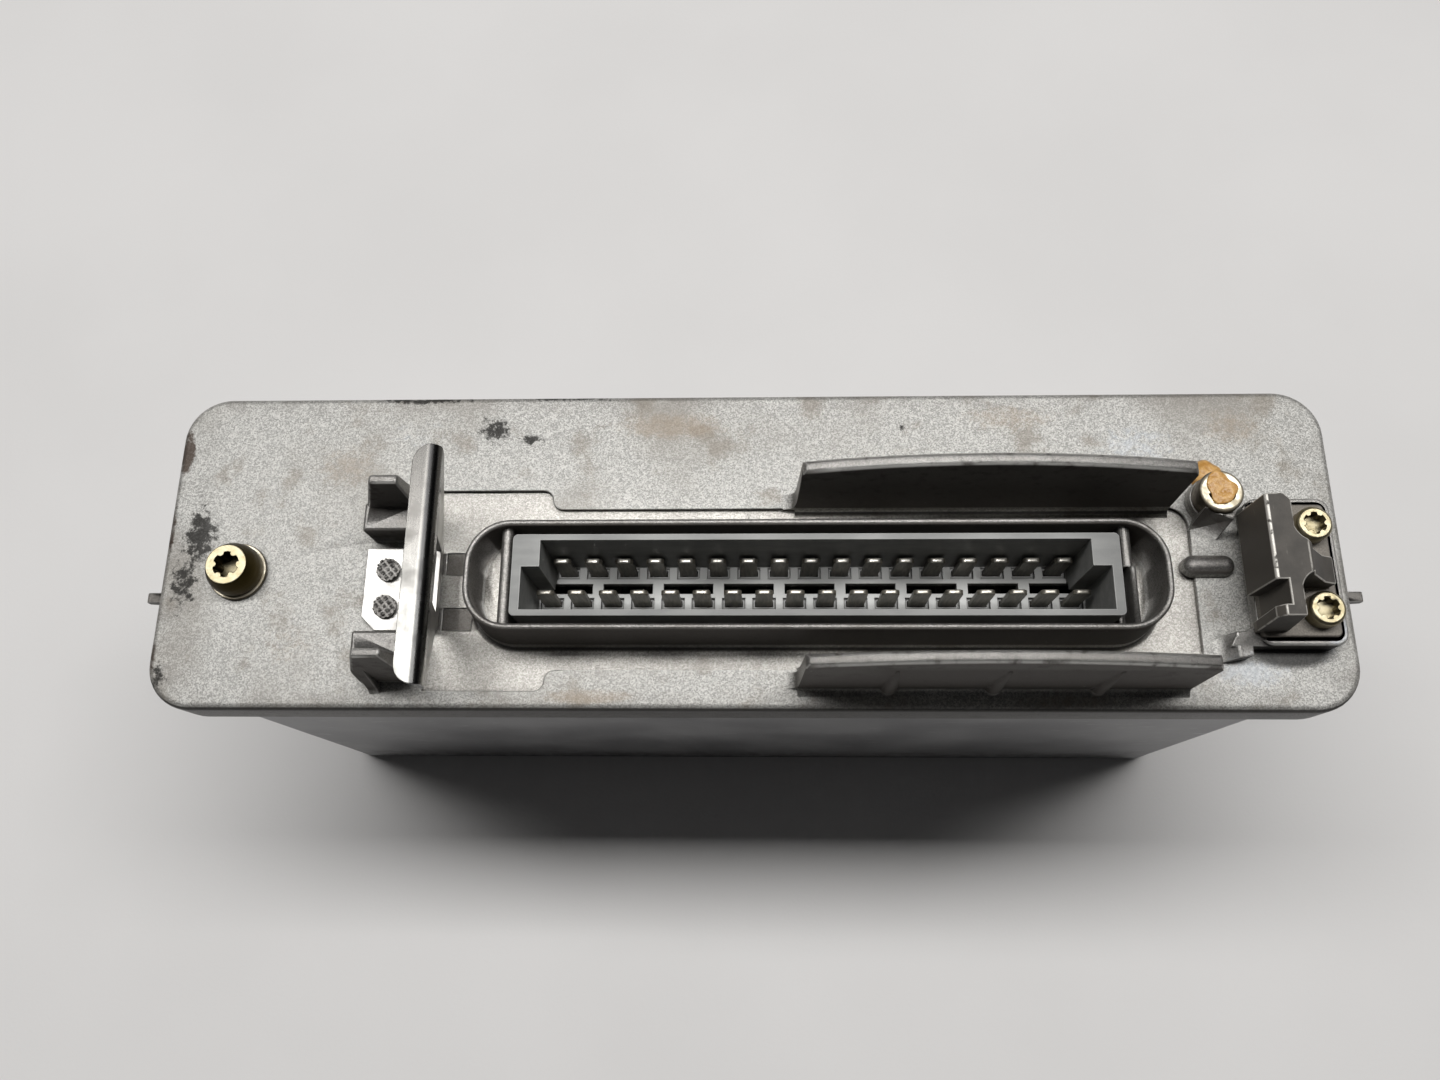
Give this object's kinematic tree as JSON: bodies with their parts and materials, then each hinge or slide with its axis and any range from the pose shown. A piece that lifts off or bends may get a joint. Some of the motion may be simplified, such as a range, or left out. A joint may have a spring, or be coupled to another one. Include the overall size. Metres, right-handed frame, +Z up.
{
  "type": "engine control unit",
  "caption": "Flat box-shaped control unit: a drawn metal can closed by a cast end plate with a keyed plug socket, a sheet latch, a hook block and guard walls.",
  "frame": {"origin": "middle of the closed end of the can, which rests on the ground", "axes": "+X along the width, towards the hook block; +Y from front to rear, through the thin side; +Z up, out of the socket"},
  "size_m": [0.1988, 0.0532, 0.1106],
  "materials": {
    "cast_aluminium": "die-cast, speckled, stained and worn bright on the edges",
    "can_aluminium": "drawn, fine scratches and small dents",
    "seal_compound": "cured sealing compound",
    "header_plastic": "moulded, matte",
    "contact_metal": "tinned, tarnished",
    "spring_steel": "bright rolled sheet",
    "hook_metal": "dark coating worn through on the edges",
    "zinc_yellow": "yellow zinc plating",
    "bright_steel": "plain zinc plating",
    "orange_compound": "cured sealing compound",
    "chassis_aluminium": "rolled sheet",
    "board_laminate": "lacquered laminate",
    "black_plastic": "moulded, matte",
    "pin_metal": "plated",
    "foil": "thin sheet",
    "capacitor_sleeve": "shrunk sleeve",
    "copper_winding": "enamelled wire on a ring core",
    "chip_ceramic": "fired body",
    "resistor_body": "lacquered body"
  },
  "bodies": {
    "root": {"end_plate": "cast_aluminium", "can": "can_aluminium", "seal_bead": "seal_compound", "connector_header": "header_plastic", "rear_contacts": "contact_metal", "front_contacts": "contact_metal", "latch_spring": "spring_steel", "hook_block": "hook_metal", "hook_screws": "zinc_yellow", "bracket_bolt": "zinc_yellow", "bolt_washer": "bright_steel", "sealed_screw": "bright_steel", "sealing_compound": "orange_compound", "board_chassis": "chassis_aluminium", "main_board": "board_laminate", "signal_board": "board_laminate", "board_screws": "bright_steel", "link_strip": "black_plastic", "link_pins": "pin_metal", "power_transistors": "black_plastic", "insulating_foil": "foil", "transistor_clip": "bright_steel", "clip_screws": "bright_steel", "capacitors": "capacitor_sleeve", "choke": "copper_winding", "driver_chips": "black_plastic", "voltage_regulator": "black_plastic", "microcontroller": "black_plastic", "memory_socket": "black_plastic", "memory_chip": "chip_ceramic", "crystal": "bright_steel", "resistors": "resistor_body"}
  },
  "joints": []
}
